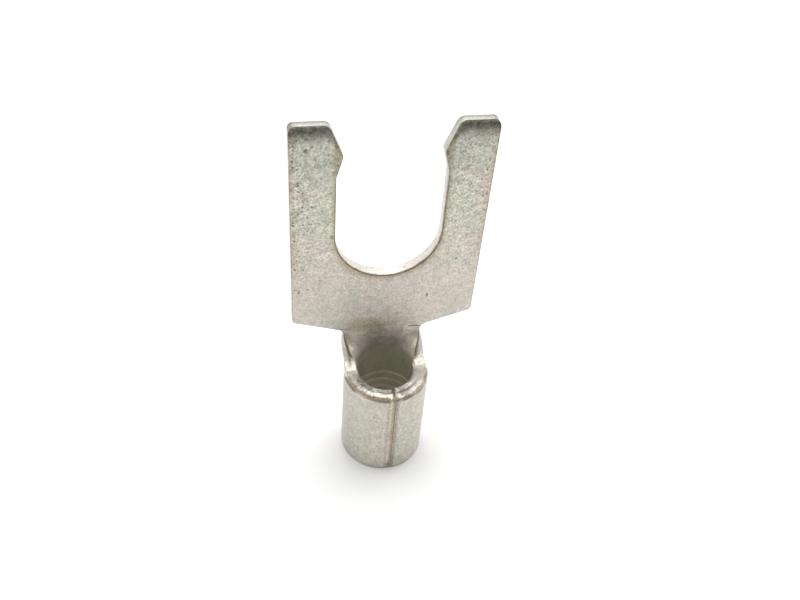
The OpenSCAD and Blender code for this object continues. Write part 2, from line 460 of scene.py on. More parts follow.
def roughenRim(sheet):
    front, through, rim = blank["frontY"], blank["sheet"], blank["barrelLength"]
    for share in shearing["rows"]:
        selectOnly(sheet, "FACE", onRimFace)
        bpy.ops.mesh.bisect(plane_co=(0, front + share * through, 0), plane_no=(0, 1, 0))
    inner = front + shearing["breakShare"] * through
    lip = front + edges["rimInside"] + 0.02
    burred = front + edges["rimInside"] + 0.01
    selectOnly(sheet, "VERT", lambda v, mesh: abs(v.co.z - rim) < 1e-3)
    bpy.ops.object.vertex_group_assign_new()
    bpy.ops.object.mode_set(mode="OBJECT")
    rough = sheet.vertex_groups[-1]
    for vertex in sheet.data.vertices:
        below = rim - vertex.co.z
        if -1e-3 < below < edges["rimOutside"] + 0.01:
            side = abs(vertex.co.x)
            beside = reached(side, *shearing["leftFade" if vertex.co.x < 0 else "rightFade"])
            outwards = max(0, (vertex.co.y - inner) / (blank["backY"] - inner))
            drop = shearing["crown"] * outwards ** 2
            if below < 1e-3:
                rough.add([vertex.index], beside, "REPLACE")
                if lip < vertex.co.y < inner:
                    drop += shearing["breakDepth"]
            vertex.co.z -= drop * beside
            if vertex.co.y < burred and below < edges["rimInside"] + 0.01:
                standing = shearing["burrRight" if vertex.co.x > 0 else "burr"]
                vertex.co.y -= standing * reached(side, *shearing["burrFade"])
    lumps = bpy.data.textures.new("sheared rim", "CLOUDS")
    lumps.noise_scale = shearing["grain"]
    jagged = sheet.modifiers.new("jaggedRim", "DISPLACE")
    jagged.texture = lumps
    jagged.vertex_group = rough.name
    jagged.direction = "Z"
    jagged.mid_level = 1             # only takes metal away
    jagged.strength = shearing["roughness"]
    bpy.ops.object.modifier_apply(modifier=jagged.name)
    bpy.ops.object.vertex_group_remove(all=True)


def noteBlankPlaces(sheet):
    # the finishes follow the sheet, so each point keeps its place on the flat blank
    bpy.ops.object.mode_set(mode="OBJECT")
    places = sheet.data.attributes.new("blankPlace", "FLOAT_VECTOR", "POINT")
    for vertex in sheet.data.vertices:
        places.data[vertex.index].vector = vertex.co


def finishFaces(sheet, *finishes):
    # plated faces take the first finish and sheared ones the second
    sheet.data.materials.clear()
    for material in finishes:
        sheet.data.materials.append(material)
    selectOnly(
        sheet, "FACE",
        lambda f, mesh: abs(f.normal.y) < shearing["steepest"]
        or f.normal.z > shearing["upward"] and abs(blank["barrelLength"] - f.center.z) < shearing["rimReach"],
    )
    sheet.active_material_index = 1
    bpy.ops.object.material_slot_assign()
    bpy.ops.object.mode_set(mode="OBJECT")


def rollSheet(sheet):
    # each height has a bend of its own, so each point is laid on its own arc
    middleY = blank["backY"] - blank["sheet"] / 2
    for vertex in sheet.data.vertices:
        bend = bendShare(vertex.co.z) / blank["rollRadius"]
        if bend > 1e-6:
            angle = vertex.co.x * bend
            behind = vertex.co.y - middleY
            vertex.co.x = math.sin(angle) * (1 / bend + behind)
            vertex.co.y = middleY + math.cos(angle) * (1 / bend + behind) - 1 / bend


def makeTerminal():
    emptyHands()
    sheet = stampHalf()
    coinTip()
    coinLeadIn()
    mirrorHalf(sheet)
    roundEdges(sheet)
    dipLips(sheet)
    print("blank stamped, coined and rounded:", len(sheet.data.polygons), "faces")
    bpy.ops.object.mode_set(mode="EDIT")
    pressSerrations(sheet)
    pressDieMark(sheet)
    cutBendLines(sheet)
    roughenRim(sheet)
    noteBlankPlaces(sheet)
    finishFaces(sheet, matteTin(), shearedEdge())
    rollSheet(sheet)
    bpy.ops.object.mode_set(mode="EDIT")
    bpy.ops.mesh.select_all(action="SELECT")
    bpy.ops.transform.resize(value=(mm, mm, mm), center_override=(0, 0, 0))
    bpy.ops.mesh.remove_doubles(threshold=1e-7)
    bpy.ops.mesh.normals_make_consistent(inside=False)
    bpy.ops.object.mode_set(mode="OBJECT")
    bpy.ops.object.shade_smooth_by_angle(angle=math.radians(32))
    even = sheet.modifiers.new("evenNormals", "WEIGHTED_NORMAL")
    even.keep_sharp = True
    bpy.ops.object.modifier_apply(modifier=even.name)
    print("terminal rolled:", len(sheet.data.polygons), "faces")
    return sheet


# Small helpers for node trees
def feed(tree, socket, source):
    if isinstance(source, bpy.types.NodeSocket):
        tree.links.new(source, socket)
    else:
        socket.default_value = source


def calc(tree, operation, *sources, clamp=False):
    node = tree.nodes.new("ShaderNodeMath")
    node.operation = operation
    node.use_clamp = clamp
    for socket, source in zip(node.inputs, sources):
        feed(tree, socket, source)
    return node.outputs[0]


def ramped(tree, value, low, high, lowResult=0.0, highResult=1.0):
    node = tree.nodes.new("ShaderNodeMapRange")
    node.interpolation_type = "SMOOTHSTEP"
    for socket, source in zip(node.inputs, (value, low, high, lowResult, highResult)):
        feed(tree, socket, source)
    return node.outputs[0]


def faded(tree, value, low, high):
    return ramped(tree, value, low, high, 1.0, 0.0)


def allOf(tree, *masks):
    result = masks[0]
    for mask in masks[1:]:
        result = calc(tree, "MULTIPLY", result, mask)
    return result


def anyOf(tree, *masks):
    result = masks[0]
    for mask in masks[1:]:
        result = calc(tree, "MAXIMUM", result, mask)
    return result


def clouds(tree, place, scale, detail=2.0, roughness=0.5, distortion=0.0):
    node = tree.nodes.new("ShaderNodeTexNoise")
    feed(tree, node.inputs["Vector"], place)
    node.inputs["Scale"].default_value = scale
    node.inputs["Detail"].default_value = detail
    node.inputs["Roughness"].default_value = roughness
    node.inputs["Distortion"].default_value = distortion
    return node.outputs["Fac"]


def centred(tree, noise, spread):
    # noise lies round a half, and this lies round nothing
    return calc(tree, "MULTIPLY_ADD", noise, spread, -spread / 2)


def mixed(tree, share, colour, other, blend="MIX"):
    node = tree.nodes.new("ShaderNodeMix")
    node.data_type = "RGBA"
    node.blend_type = blend
    feed(tree, node.inputs[0], share)
    feed(tree, node.inputs[6], colour)
    feed(tree, node.inputs[7], other)
    return node.outputs[2]


def blankPlace(tree):
    # place on the flat blank in millimetres: along the sheet, through it and up
    node = tree.nodes.new("ShaderNodeAttribute")
    node.attribute_name = "blankPlace"
    parts = tree.nodes.new("ShaderNodeSeparateXYZ")
    tree.links.new(node.outputs["Vector"], parts.inputs[0])
    return node.outputs["Vector"], parts.outputs[0], parts.outputs[1], parts.outputs[2]


grain = {
    "fineScale": 7.0,        # per millimetre
    "coarseScale": 2.4,
    "fineTone": 1.75,
    "coarseTone": 0.95,
    "blotchScale": 0.42,
    "blotchTone": 2.2,
    "cool": (0.61, 0.61, 0.525, 1),
    "warm": (0.7, 0.632, 0.576, 1),
}


def tinGrain():
    # mottled grain of the plating, shared by the plated and the sheared faces
    group = bpy.data.node_groups.new("tin grain", "ShaderNodeTree")
    sockets = group.interface
    sockets.new_socket("Place", in_out="INPUT", socket_type="NodeSocketVector")
    sockets.new_socket("Warmth", in_out="INPUT", socket_type="NodeSocketFloat")
    sockets.new_socket("Contrast", in_out="INPUT", socket_type="NodeSocketFloat")
    sockets.new_socket("Colour", in_out="OUTPUT", socket_type="NodeSocketColor")
    sockets.new_socket("Height", in_out="OUTPUT", socket_type="NodeSocketFloat")
    into = group.nodes.new("NodeGroupInput")
    out = group.nodes.new("NodeGroupOutput")
    place = into.outputs["Place"]
    fine = clouds(group, place, grain["fineScale"], 2, 0.65)
    coarse = clouds(group, place, grain["coarseScale"], 3, 0.6)
    blotch = clouds(group, place, grain["blotchScale"], 2, 0.5, 0.6)
    patches = centred(group, blotch, grain["blotchTone"])
    warmth = calc(group, "ADD", into.outputs["Warmth"], patches, clamp=True)
    tint = mixed(group, warmth, grain["cool"], grain["warm"])
    fineTone = centred(group, fine, grain["fineTone"])
    coarseTone = centred(group, coarse, grain["coarseTone"])
    speckle = calc(group, "ADD", fineTone, coarseTone)
    tone = calc(group, "MULTIPLY_ADD", speckle, into.outputs["Contrast"], 1)
    feed(group, out.inputs["Colour"], mixed(group, 1, tint, tone, "MULTIPLY"))
    feed(group, out.inputs["Height"], calc(group, "MULTIPLY_ADD", coarse, 0.6, fine))
    return group


def ellipse(tree, along, height, centre, size, wobble):
    across = calc(tree, "DIVIDE", calc(tree, "SUBTRACT", along, centre[0]), size[0])
    up = calc(tree, "DIVIDE", calc(tree, "SUBTRACT", height, centre[1]), size[1])
    square = calc(tree, "ADD", calc(tree, "MULTIPLY", across, across), calc(tree, "MULTIPLY", up, up))
    return ramped(tree, calc(tree, "ADD", square, wobble), -0.3, 1.5, 1, 0)


def lipDistance(tree, along):
    # from whichever of the seam's two lips is nearer
    fromMiddle = calc(tree, "SUBTRACT", along, seamShift)
    return calc(tree, "SUBTRACT", blank["seamEdge"], calc(tree, "ABSOLUTE", fromMiddle))


grainGroup = tinGrain()


def newFinish(name):
    material = bpy.data.materials.new(name)
    material.use_nodes = True
    return material, material.node_tree, material.node_tree.nodes["Principled BSDF"]


def placeGrain(tree, place, warmth, contrast):
    node = tree.nodes.new("ShaderNodeGroup")
    node.node_tree = grainGroup
    feed(tree, node.inputs["Place"], place)
    feed(tree, node.inputs["Warmth"], warmth)
    feed(tree, node.inputs["Contrast"], contrast)
    return node.outputs["Colour"], node.outputs["Height"]


def bumped(tree, shader, height, distance):
    node = tree.nodes.new("ShaderNodeBump")
    feed(tree, node.inputs["Height"], height)
    node.inputs["Distance"].default_value = distance
    tree.links.new(node.outputs["Normal"], shader.inputs["Normal"])


def tinted(tree, share, colour, tint):
    return mixed(tree, share, colour, mixed(tree, 1, colour, tint, "MULTIPLY"))


# Places in the finishes are on the blank, in millimetres. Two numbers are where an effect starts and ends,
# and two more after them are its strengths there.
pitting = {
    "scale": 3.6,            # chances of a pit per millimetre
    "share": (0.3, 0.004),   # of them taken, along the left tine and elsewhere
    "leftEdge": (-5.8, -4.1),
    "heights": (11, 15),
    "sizes": (0.16, 0.42),
    "uneven": 0.3,
    "unevenScale": 9,
    "speckScale": 8.5,
    "specks": (0.64, 0.7),
    "colour": (0.14, 0.13, 0.1, 1),
    "depth": 1.5,
    "spots": (               # place and size of single dark spots
        ((-5.07, 23.1), (0.12, 0.16)),
        ((4.72, 20.4), (0.06, 0.07)),
        ((2.8, 11.75), (0.08, 0.2)),
        ((3.05, 22.55), (0.08, 0.2)),
    ),
}


def pits(tree, place, along, height):
    # single pits, thickest along the left tine's outer edge
    flat = tree.nodes.new("ShaderNodeCombineXYZ")
    feed(tree, flat.inputs[0], along)
    feed(tree, flat.inputs[1], height)
    cells = tree.nodes.new("ShaderNodeTexVoronoi")
    cells.voronoi_dimensions = "2D"
    cells.inputs["Scale"].default_value = pitting["scale"]
    feed(tree, cells.inputs["Vector"], flat.outputs[0])
    luck = tree.nodes.new("ShaderNodeSeparateColor")
    feed(tree, luck.inputs[0], cells.outputs["Color"])
    leftEdge = ramped(tree, along, *pitting["leftEdge"], *pitting["share"])
    share = allOf(tree, leftEdge, ramped(tree, height, *pitting["heights"]))
    chosen = calc(tree, "LESS_THAN", luck.outputs[0], share)
    size = ramped(tree, luck.outputs[1], 0, 1, *pitting["sizes"])
    ragged = centred(tree, clouds(tree, place, pitting["unevenScale"], 2, 0.6), pitting["uneven"])
    distance = calc(tree, "ADD", cells.outputs["Distance"], ragged)
    pitted = allOf(tree, chosen, faded(tree, distance, 0.05, size))
    specks = ramped(tree, clouds(tree, place, pitting["speckScale"], 2, 0.6), *pitting["specks"])
    specks = allOf(tree, specks, calc(tree, "MULTIPLY", share, 3, clamp=True))
    pitted = anyOf(tree, pitted, specks)
    for centre, spread in pitting["spots"]:
        spot = ellipse(tree, along, height, centre, spread, calc(tree, "MULTIPLY", ragged, 4))
        pitted = anyOf(tree, pitted, spot)
    return pitted


stainingAndShade = {
    "ragged": 0.6,
    "stainsShadeAndLight": (              # colour, place and size on the neck's front: an olive stain, painted shade in the hollow, painted highlights and a brown mark
        ((0.8, 0.77, 0.63, 1), (-0.9, 9.65), (1.9, 0.6)),
        # painted shade, darkening the hollow under the neck
        ((0.67, 0.65, 0.6, 1), (-0.45, 9.05), (0.8, 0.7)),
        ((0.68, 0.68, 0.66, 1), (-1.1, 8.0), (1.0, 0.5)),
        ((0.64, 0.64, 0.62, 1), (1.15, 8.0), (0.7, 0.5)),
        ((0.66, 0.65, 0.62, 1), (-2.3, 7.5), (1.3, 0.4)),
        ((0.72, 0.71, 0.69, 1), (2.0, 7.6), (1.3, 0.4)),
        ((0.74, 0.74, 0.73, 1), (0.0, 7.8), (1.7, 1.2)),
        ((0.68, 0.68, 0.62, 1), (-2.5, 8.5), (0.35, 0.55)),
        ((0.78, 0.77, 0.74, 1), (2.35, 8.2), (0.4, 0.4)),
        # painted highlights on the neck's front
        ((1.25, 1.24, 1.22, 1), (1.8, 8.85), (0.6, 0.35)),
        ((1.25, 1.23, 1.12, 1), (-1.8, 8.75), (0.6, 0.25)),
        ((1.45, 1.43, 1.4, 1), (2.5, 7.95), (0.16, 0.22)),
        ((1.35, 1.34, 1.3, 1), (-2.5, 7.95), (0.15, 0.2)),
        # a brown mark at the neck's right foot
        ((0.55, 0.42, 0.34, 1), (3.1, 7.47), (0.13, 0.13)),
    ),
    "rustyEdge": (0.88, 0.8, 0.74, 1),   # along the tongue's sides
    "rustyWidth": (0, 0.5),
    "rustyHeights": (12, 17),
    "rustyRagged": 0.6,
    # painted shade along the slot's rounded edge, with some brown grime
    "slotShadeAndGrime": (0.66, 0.62, 0.5, 1),
    "slotShadeWidth": (14, 17, 0.65, 0.35),      # wider below the slot than beside it
    "slotRagged": 0.18,
    "slotShare": 0.9,
}


def slotDistance(tree, along, height):
    below = calc(tree, "MINIMUM", calc(tree, "SUBTRACT", height, blank["slotHeight"]), 0)
    reach = calc(tree, "ADD", calc(tree, "MULTIPLY", along, along), calc(tree, "MULTIPLY", below, below))
    return calc(tree, "SUBTRACT", calc(tree, "SQRT", reach), blank["slotRadius"])


def stainedAndShaded(tree, colour, along, height, front, wobble):
    ragged = calc(tree, "MULTIPLY", wobble, stainingAndShade["ragged"])
    for markTint, centre, size in stainingAndShade["stainsShadeAndLight"]:
        spot = allOf(tree, front, ellipse(tree, along, height, centre, size, ragged))
        colour = tinted(tree, spot, colour, markTint)
    toSide = calc(tree, "SUBTRACT", blank["tongueWidth"] / 2, calc(tree, "ABSOLUTE", along))
    frayed = calc(tree, "MULTIPLY_ADD", wobble, stainingAndShade["rustyRagged"], toSide)
    rusty = faded(tree, frayed, *stainingAndShade["rustyWidth"])
    rusty = allOf(tree, rusty, ramped(tree, height, *stainingAndShade["rustyHeights"]))
    colour = tinted(tree, rusty, colour, stainingAndShade["rustyEdge"])
    frayed = calc(tree, "MULTIPLY_ADD", wobble, stainingAndShade["slotRagged"], slotDistance(tree, along, height))
    width = ramped(tree, height, *stainingAndShade["slotShadeWidth"])
    slotShaded = ramped(tree, frayed, 0, width, stainingAndShade["slotShare"], 0)
    return tinted(tree, slotShaded, colour, stainingAndShade["slotShadeAndGrime"])


cutEdgeShade = {
    "colour": (0.34, 0.26, 0.19, 1),     # painted shade on the rounded front edges of the neck and the slot
    "rounded": (0.001, 0.02),            # through the sheet
    "roundedEnd": (0.3, 0.5),
    "neckEnd": (-1, 1, 7.92, 7.52),      # the line on the neck's right edge goes further down
    "neckEndFade": (-0.1, 0.1),
    "neckTop": (9.2, 9.5),
    "besideSlot": (0.3, 0.5),
    "slotHeights": (20, 22, 0.6, 0),
    "plateShare": 0.4,
    "plateTop": (21, 22.5),
    "leadIn": (21.9, 22.6),
    "leadInTop": (23.4, 24.0, 0.7, 0),
    "coined": (0.02, 0.22),
}


# painted shade along the rounded front edges of the neck, the slot and the lead-ins
def shadedAtCutEdges(tree, colour, along, behind, height):
    notBack = faded(tree, behind, *cutEdgeShade["roundedEnd"])
    rounded = allOf(tree, ramped(tree, behind, *cutEdgeShade["rounded"]), notBack)
    toEnd = calc(tree, "SUBTRACT", height, ramped(tree, along, *cutEdgeShade["neckEnd"]))
    onNeck = ramped(tree, toEnd, *cutEdgeShade["neckEndFade"])
    onNeck = allOf(tree, onNeck, faded(tree, height, *cutEdgeShade["neckTop"]))
    bySlot = faded(tree, slotDistance(tree, along, height), *cutEdgeShade["besideSlot"])
    bySlot = allOf(tree, bySlot, ramped(tree, height, *cutEdgeShade["slotHeights"]))
    onPlate = ramped(tree, height, *cutEdgeShade["neckTop"], 0, cutEdgeShade["plateShare"])
    onPlate = allOf(tree, onPlate, faded(tree, height, *cutEdgeShade["plateTop"]))
    line = allOf(tree, rounded, anyOf(tree, onPlate, onNeck, bySlot))
    colour = tinted(tree, line, colour, cutEdgeShade["colour"])
    leadIn = ramped(tree, height, *cutEdgeShade["leadIn"])
    leadIn = allOf(tree, leadIn, ramped(tree, height, *cutEdgeShade["leadInTop"]))
    leadIn = allOf(tree, leadIn, ramped(tree, behind, *cutEdgeShade["coined"]), notBack)
    return tinted(tree, leadIn, colour, cutEdgeShade["colour"])


seamSoilAndLight = {
    "dirt": (0.62, 0.6, 0.56, 1),
    "dirtWidth": (0.08, 0.26),
    "ragged": 0.03,
    "footHeights": (0.3, 1.1),           # a patch at the foot of the left lip
    "footWidth": (0.17, 0.32),
    "lipEdgeLight": (1.55, 1.5, 1.42, 1),     # painted light along the lips' edges, against the shade of the seam's groove
    "lipEdgeLightWidth": (0.02, 0.07),
    "lipBandLight": (1.05, 1.02, 0.95, 1),    # painted light: paler strip along the left lip's rounding
    "lipBandLightWidth": (0.25, 0.42),
    "foldShade": (0.84, 0.81, 0.75, 1),   # painted shade where the left lip starts to roll in
    "foldPlace": 0.36,
    "foldWidth": (0.02, 0.13),
}


def soiledAndLitAtSeam(tree, colour, along, height, wobble):
    toLip = lipDistance(tree, along)
    toLeftLip = calc(tree, "ADD", along, blank["seamEdge"] - seamShift)
    litBand = faded(tree, toLeftLip, *seamSoilAndLight["lipBandLightWidth"])
    colour = tinted(tree, litBand, colour, seamSoilAndLight["lipBandLight"])
    frayed = calc(tree, "MULTIPLY_ADD", wobble, seamSoilAndLight["ragged"], toLip)
    dirty = faded(tree, frayed, *seamSoilAndLight["dirtWidth"])
    atFoot = faded(tree, height, *seamSoilAndLight["footHeights"])
    atFoot = allOf(tree, atFoot, faded(tree, toLeftLip, *seamSoilAndLight["footWidth"]))
    colour = tinted(tree, anyOf(tree, dirty, atFoot), colour, seamSoilAndLight["dirt"])
    colour = tinted(tree, faded(tree, toLip, *seamSoilAndLight["lipEdgeLightWidth"]), colour, seamSoilAndLight["lipEdgeLight"])
    offFold = calc(tree, "ABSOLUTE", calc(tree, "SUBTRACT", toLeftLip, seamSoilAndLight["foldPlace"]))
    return tinted(tree, faded(tree, offFold, *seamSoilAndLight["foldWidth"]), colour, seamSoilAndLight["foldShade"])


rimSoilAndShade = {
    # under the rim's outer edge: brown dirt and painted shade of the rounded edge, near the seam and in a
    # patch on the left
    "dirt": (0.42, 0.39, 0.33, 1),
    "outside": (-0.3, -0.1),             # from the barrel's outside
    "heights": (-0.36, -0.27),           # from the rim
    "top": (0.05, 0.25),
    "ragged": 0.12,
    "fromSeam": (0.5, 2.4, 0.9, 0.3),    # most of it lies near the seam
    "atLips": (0.3, 0.5, 0.4, 1),
    "leftPatch": (-5.6, -5.0),
    "leftPatchEnd": (-4.1, -3.7),
}


def soiledAndShadedUnderRim(tree, colour, along, through, height, wobble):
    toLip = lipDistance(tree, along)
    fromOutside = calc(tree, "SUBTRACT", through, blank["backY"])
    fromRim = calc(tree, "SUBTRACT", height, blank["barrelLength"])
    frayed = calc(tree, "MULTIPLY_ADD", wobble, rimSoilAndShade["ragged"], fromRim)
    underRim = allOf(
        tree,
        ramped(tree, fromOutside, *rimSoilAndShade["outside"]),
        ramped(tree, frayed, *rimSoilAndShade["heights"]),
        faded(tree, fromRim, *rimSoilAndShade["top"]),
    )
    bySeam = allOf(
        tree,
        ramped(tree, calc(tree, "ABSOLUTE", along), *shearing["leftFade"]),
        ramped(tree, toLip, *rimSoilAndShade["fromSeam"]),
        ramped(tree, toLip, *rimSoilAndShade["atLips"]),
    )
    leftPatch = ramped(tree, along, *rimSoilAndShade["leftPatch"])
    leftPatch = allOf(tree, leftPatch, faded(tree, along, *rimSoilAndShade["leftPatchEnd"]))
    soil = allOf(tree, underRim, anyOf(tree, bySeam, leftPatch))
    return tinted(tree, soil, colour, rimSoilAndShade["dirt"])


plating = {
    "metallic": 0.65,
    "roughness": (0.55, 1.05, 0.44, 0.58),
    "bump": 0.000014,
    "warmth": (10, 21, 0.85, 0.25),
    "contrast": (11, 20, 0.66, 1.25),
    "hollowContrast": -0.35,             # weaker in the hollow under the neck
    # painted light, brightening the hollow under the neck and the bore
    "hollowLight": (1.12, 1.14, 1.1, 1),
    "hollowHeights": (7.0, 8.6),
    "front": (0.1, 0.3),                 # how far through the sheet the front's own colours go
    "wobble": 2.4,
    "wobbleScale": 1.3,
    "upperShade": (0.88, 0.89, 0.89, 1),
    "upperHeights": (19, 22.5),
    "barrelShade": (0.91, 0.945, 0.925, 1),
    "barrelHeights": (6.6, 7.2),
    "leftShade": (0.86, 0.86, 0.87, 1),  # on the barrel's left
    "leftFrom": (-5.8, -4.6),
    "leftTo": (-3, -1),
    # painted shade across the tips' rounded fronts
    "tipPaintedShade": (0.36, 0.36, 0.33, 1),
    "tipHeights": (23.2, 24.3),
    "tipRagged": 0.25,
}


def matteTin():
    material, tree, shader = newFinish("matte tin")
    place, along, through, height = blankPlace(tree)
    behind = calc(tree, "SUBTRACT", through, blank["frontY"])
    front = faded(tree, behind, *plating["front"])
    hollow = allOf(tree, front, faded(tree, height, *plating["hollowHeights"]))
    contrast = ramped(tree, height, *plating["contrast"])
    contrast = calc(tree, "MULTIPLY_ADD", hollow, plating["hollowContrast"], contrast)
    colour, relief = placeGrain(tree, place, ramped(tree, height, *plating["warmth"]), contrast)
    wobble = centred(tree, clouds(tree, place, plating["wobbleScale"], 4, 0.65), plating["wobble"])
    colour = tinted(tree, ramped(tree, height, *plating["upperHeights"]), colour, plating["upperShade"])
    barrel = faded(tree, height, *plating["barrelHeights"])
    colour = tinted(tree, barrel, colour, plating["barrelShade"])
    onLeft = allOf(tree, ramped(tree, along, *plating["leftFrom"]), faded(tree, along, *plating["leftTo"]))
    colour = tinted(tree, allOf(tree, barrel, onLeft), colour, plating["leftShade"])
    tip = calc(tree, "MULTIPLY_ADD", wobble, plating["tipRagged"], height)
    colour = tinted(tree, ramped(tree, tip, *plating["tipHeights"]), colour, plating["tipPaintedShade"])
    colour = stainedAndShaded(tree, colour, along, height, front, wobble)
    colour = tinted(tree, hollow, colour, plating["hollowLight"])
    colour = shadedAtCutEdges(tree, colour, along, behind, height)
    colour = soiledAndLitAtSeam(tree, colour, along, height, wobble)
    colour = soiledAndShadedUnderRim(tree, colour, along, through, height, wobble)
    pitted = allOf(tree, front, pits(tree, place, along, height))
    colour = mixed(tree, pitted, colour, pitting["colour"])
    feed(tree, shader.inputs["Base Color"], colour)
    feed(tree, shader.inputs["Roughness"], ramped(tree, relief, *plating["roughness"]))
    shader.inputs["Metallic"].default_value = plating["metallic"]
    sunk = calc(tree, "MULTIPLY", pitted, pitting["depth"])
    bumped(tree, shader, calc(tree, "SUBTRACT", relief, sunk), plating["bump"])
    return material


rimFace = {
    "heights": (7.25, 7.5),              # the rim's colours end here
    "scores": (7, 4.5, 3),               # marks on the rim, longer across it than along
    "scoreTone": (0.35, 0.6, 0.6, 0.92),
    "outer": (0.55, 0.5, 0.42, 1),       # darker outer edge: brown dirt and painted shade, doubly so towards the front
    "outerShare": (0.6, 0.74),           # of the sheet's thickness
    "outerShift": (-1, 1, 0, 0.07),      # narrower on the right
    "outerFrom": (3.9, 4.5),
    "outerAtLips": (0.1, 0.4, 0.3, 1),
    "frontLeft": (-6.2, -5.2),
    "frontRight": (6.3, 7.0),
    "paintedHighlight": (1.36, 1.36, 1.32, 1),      # painted highlights on the rim's corners beside the neck
    "highlightFrom": (3.45, 3.65),
    "highlightTo": (3.9, 4.2),
    "ledge": (0.43, 0.42, 0.4, 1),       # the broken inner edge
    "ledgeShare": (0.12, 0.3),
    "ledgeRight": (6.0, 7.0, 0, 0.45),
    "right": (0.54, 0.53, 0.51, 1),      # to the right of the seam
    "rightFrom": (5.8, 6.8),
    "rightToLip": (0.2, 0.5),
    "lips": (1.05, 1.03, 0.98, 1),       # where the seam comes up through the rim
    "lipWidth": (0.1, 0.3),
}


def shearedRim(tree, colour, place, along, height, frayed):
    onRim = faded(tree, height, *rimFace["heights"])
    side = calc(tree, "ABSOLUTE", along)
    toLip = lipDistance(tree, along)
    across = tree.nodes.new("ShaderNodeMapping")
    across.inputs["Scale"].default_value = rimFace["scores"]
    feed(tree, across.inputs["Vector"], place)
    scores = ramped(tree, clouds(tree, across.outputs[0], 1, 2, 0.5), *rimFace["scoreTone"])
    nearEnd, farEnd = shearing["leftFade"]
    left = faded(tree, along, -farEnd, -nearEnd)
    rough = anyOf(tree, left, ramped(tree, along, *shearing["rightFade"]))
    colour = tinted(tree, allOf(tree, onRim, rough), colour, scores)
    outwards = calc(tree, "SUBTRACT", frayed, ramped(tree, along, *rimFace["outerShift"]))
    outer = allOf(
        tree, onRim,
        ramped(tree, outwards, *rimFace["outerShare"]),
        ramped(tree, side, *rimFace["outerFrom"]),
        ramped(tree, toLip, *rimFace["outerAtLips"]),
    )
    colour = tinted(tree, outer, colour, rimFace["outer"])
    front = faded(tree, along, *rimFace["frontLeft"])
    front = anyOf(tree, front, ramped(tree, along, *rimFace["frontRight"]))
    colour = tinted(tree, allOf(tree, outer, front), colour, rimFace["outer"])
    paintedHighlight = allOf(tree, ramped(tree, side, *rimFace["highlightFrom"]), faded(tree, side, *rimFace["highlightTo"]))
    colour = tinted(tree, allOf(tree, onRim, paintedHighlight), colour, rimFace["paintedHighlight"])
    ledge = anyOf(tree, left, ramped(tree, along, *rimFace["ledgeRight"]))
    ledge = allOf(tree, onRim, ledge, faded(tree, frayed, *rimFace["ledgeShare"]))
    colour = tinted(tree, ledge, colour, rimFace["ledge"])
    right = allOf(tree, onRim, ramped(tree, along, *rimFace["rightFrom"]))
    right = allOf(tree, right, ramped(tree, toLip, *rimFace["rightToLip"]))
    colour = tinted(tree, right, colour, rimFace["right"])
    atLips = allOf(tree, onRim, faded(tree, toLip, *rimFace["lipWidth"]))
    return tinted(tree, atLips, colour, rimFace["lips"])


shear = {
    "metallic": 0.85,
    "roughness": (0.3, 0.7, 0.26, 0.46),
    "bump": 0.00002,
    "warmth": 0.7,
    "bright": (0.66, 0.62, 0.57, 1),
    "brightStreaks": (0.35, 0.6),
    "streakScale": (3.5, 16, 3.5),
    "frayScale": 2.2,
    "fray": 0.4,
    "copper": (0.17, 0.11, 0.08, 1),
    "copperOnNeck": 0.56,                # shares of the sheet's thickness
    "copperUnderSlot": 0.25,
    "copperOnTines": 0.42,
    "copperSlotHeights": (9.5, 11),
    "copperTineHeights": (15, 17),
    "copperFrom": (7.3, 7.5),
    "copperRise": (-1, 1, 0.2, 0),       # starts higher on the left
    "copperTop": (19, 22, 1, 0.3),
    "neckShade": (0.94, 0.94, 0.94, 1),
    "neckFrom": (7.6, 8.2),
    "neckTo": (9.5, 11),
    "upperShade": (0.78, 0.81, 0.77, 1),
    "upperHeights": (18, 22),
    "tipShade": (0.6, 0.62, 0.6, 1),     # on the far half of the tips
    "tipShare": (0.5, 0.85),
    "tipHeights": (23.0, 24.2),
    "cornerShade": (0.5, 0.51, 0.5, 1),
    "cornerFrom": (5.55, 5.9),
    "cornerHeights": (23.4, 23.9),
    "streak": (0.55, 0.51, 0.45, 1),     # from the neck's left edge down across the corner
    "streakPath": (7.2, 8.1, 0.5, 0.2),  # share of the thickness, by height
    "streakWidth": (0.03, 0.2),
    "streakLeft": (-4.4, -3.9),
    "streakRight": (-1, 0),
    "streakTop": (8.6, 8.2),
    "streakFoot": (7.2, 7.36),
}


def bareCopper(tree, along, height, frayed):
    width = ramped(
        tree, height, *shear["copperSlotHeights"], shear["copperOnNeck"], shear["copperUnderSlot"],
    )
    width = ramped(tree, height, *shear["copperTineHeights"], width, shear["copperOnTines"])
    lowEnd = calc(tree, "SUBTRACT", height, ramped(tree, along, *shear["copperRise"]))
    bare = ramped(tree, frayed, 0, width, ramped(tree, lowEnd, *shear["copperFrom"]), 0)
    return allOf(tree, bare, ramped(tree, height, *shear["copperTop"]))


def cornerStreak(tree, along, height, share):
    path = ramped(tree, height, *shear["streakPath"])
    offPath = calc(tree, "ABSOLUTE", calc(tree, "SUBTRACT", share, path))
    return allOf(
        tree,
        ramped(tree, along, *shear["streakLeft"]),
        faded(tree, along, *shear["streakRight"]),
        ramped(tree, height, *shear["streakTop"]),
        ramped(tree, height, *shear["streakFoot"]),
        faded(tree, offPath, *shear["streakWidth"]),
    )


